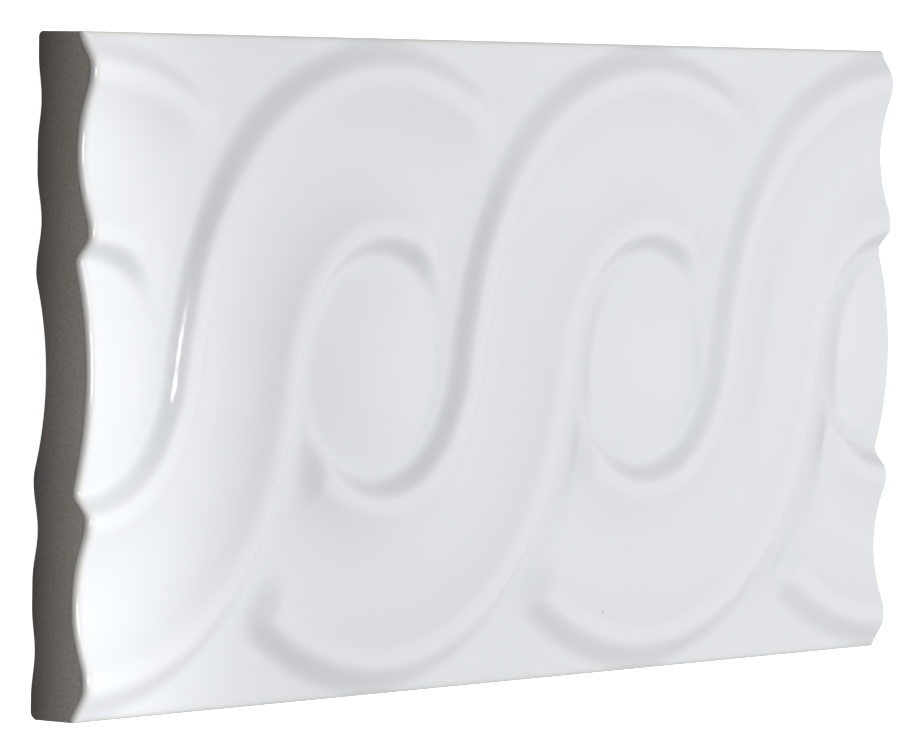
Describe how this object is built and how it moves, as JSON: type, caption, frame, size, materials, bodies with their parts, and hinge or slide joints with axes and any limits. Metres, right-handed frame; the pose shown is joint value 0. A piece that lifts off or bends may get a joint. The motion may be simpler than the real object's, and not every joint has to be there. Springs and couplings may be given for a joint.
{
  "type": "decorative border tile",
  "caption": "Rectangular glazed ceramic border tile with a raised running guilloche of S-shaped ribbons curling round domed eyes, cut so that tiles set end to end run on.",
  "frame": {"origin": "centre of the tile's outline, on the plane of its back", "axes": "+X along the row of eyes (the tile's length), +Y towards the top edge, +Z out of the glazed face"},
  "size_m": [0.198, 0.098, 0.0113],
  "materials": {
    "glazed_body": "white gloss glaze on the face, bare dark fired clay on the edges and back"
  },
  "bodies": {
    "root": {"border_tile": "glazed_body"}
  },
  "joints": []
}
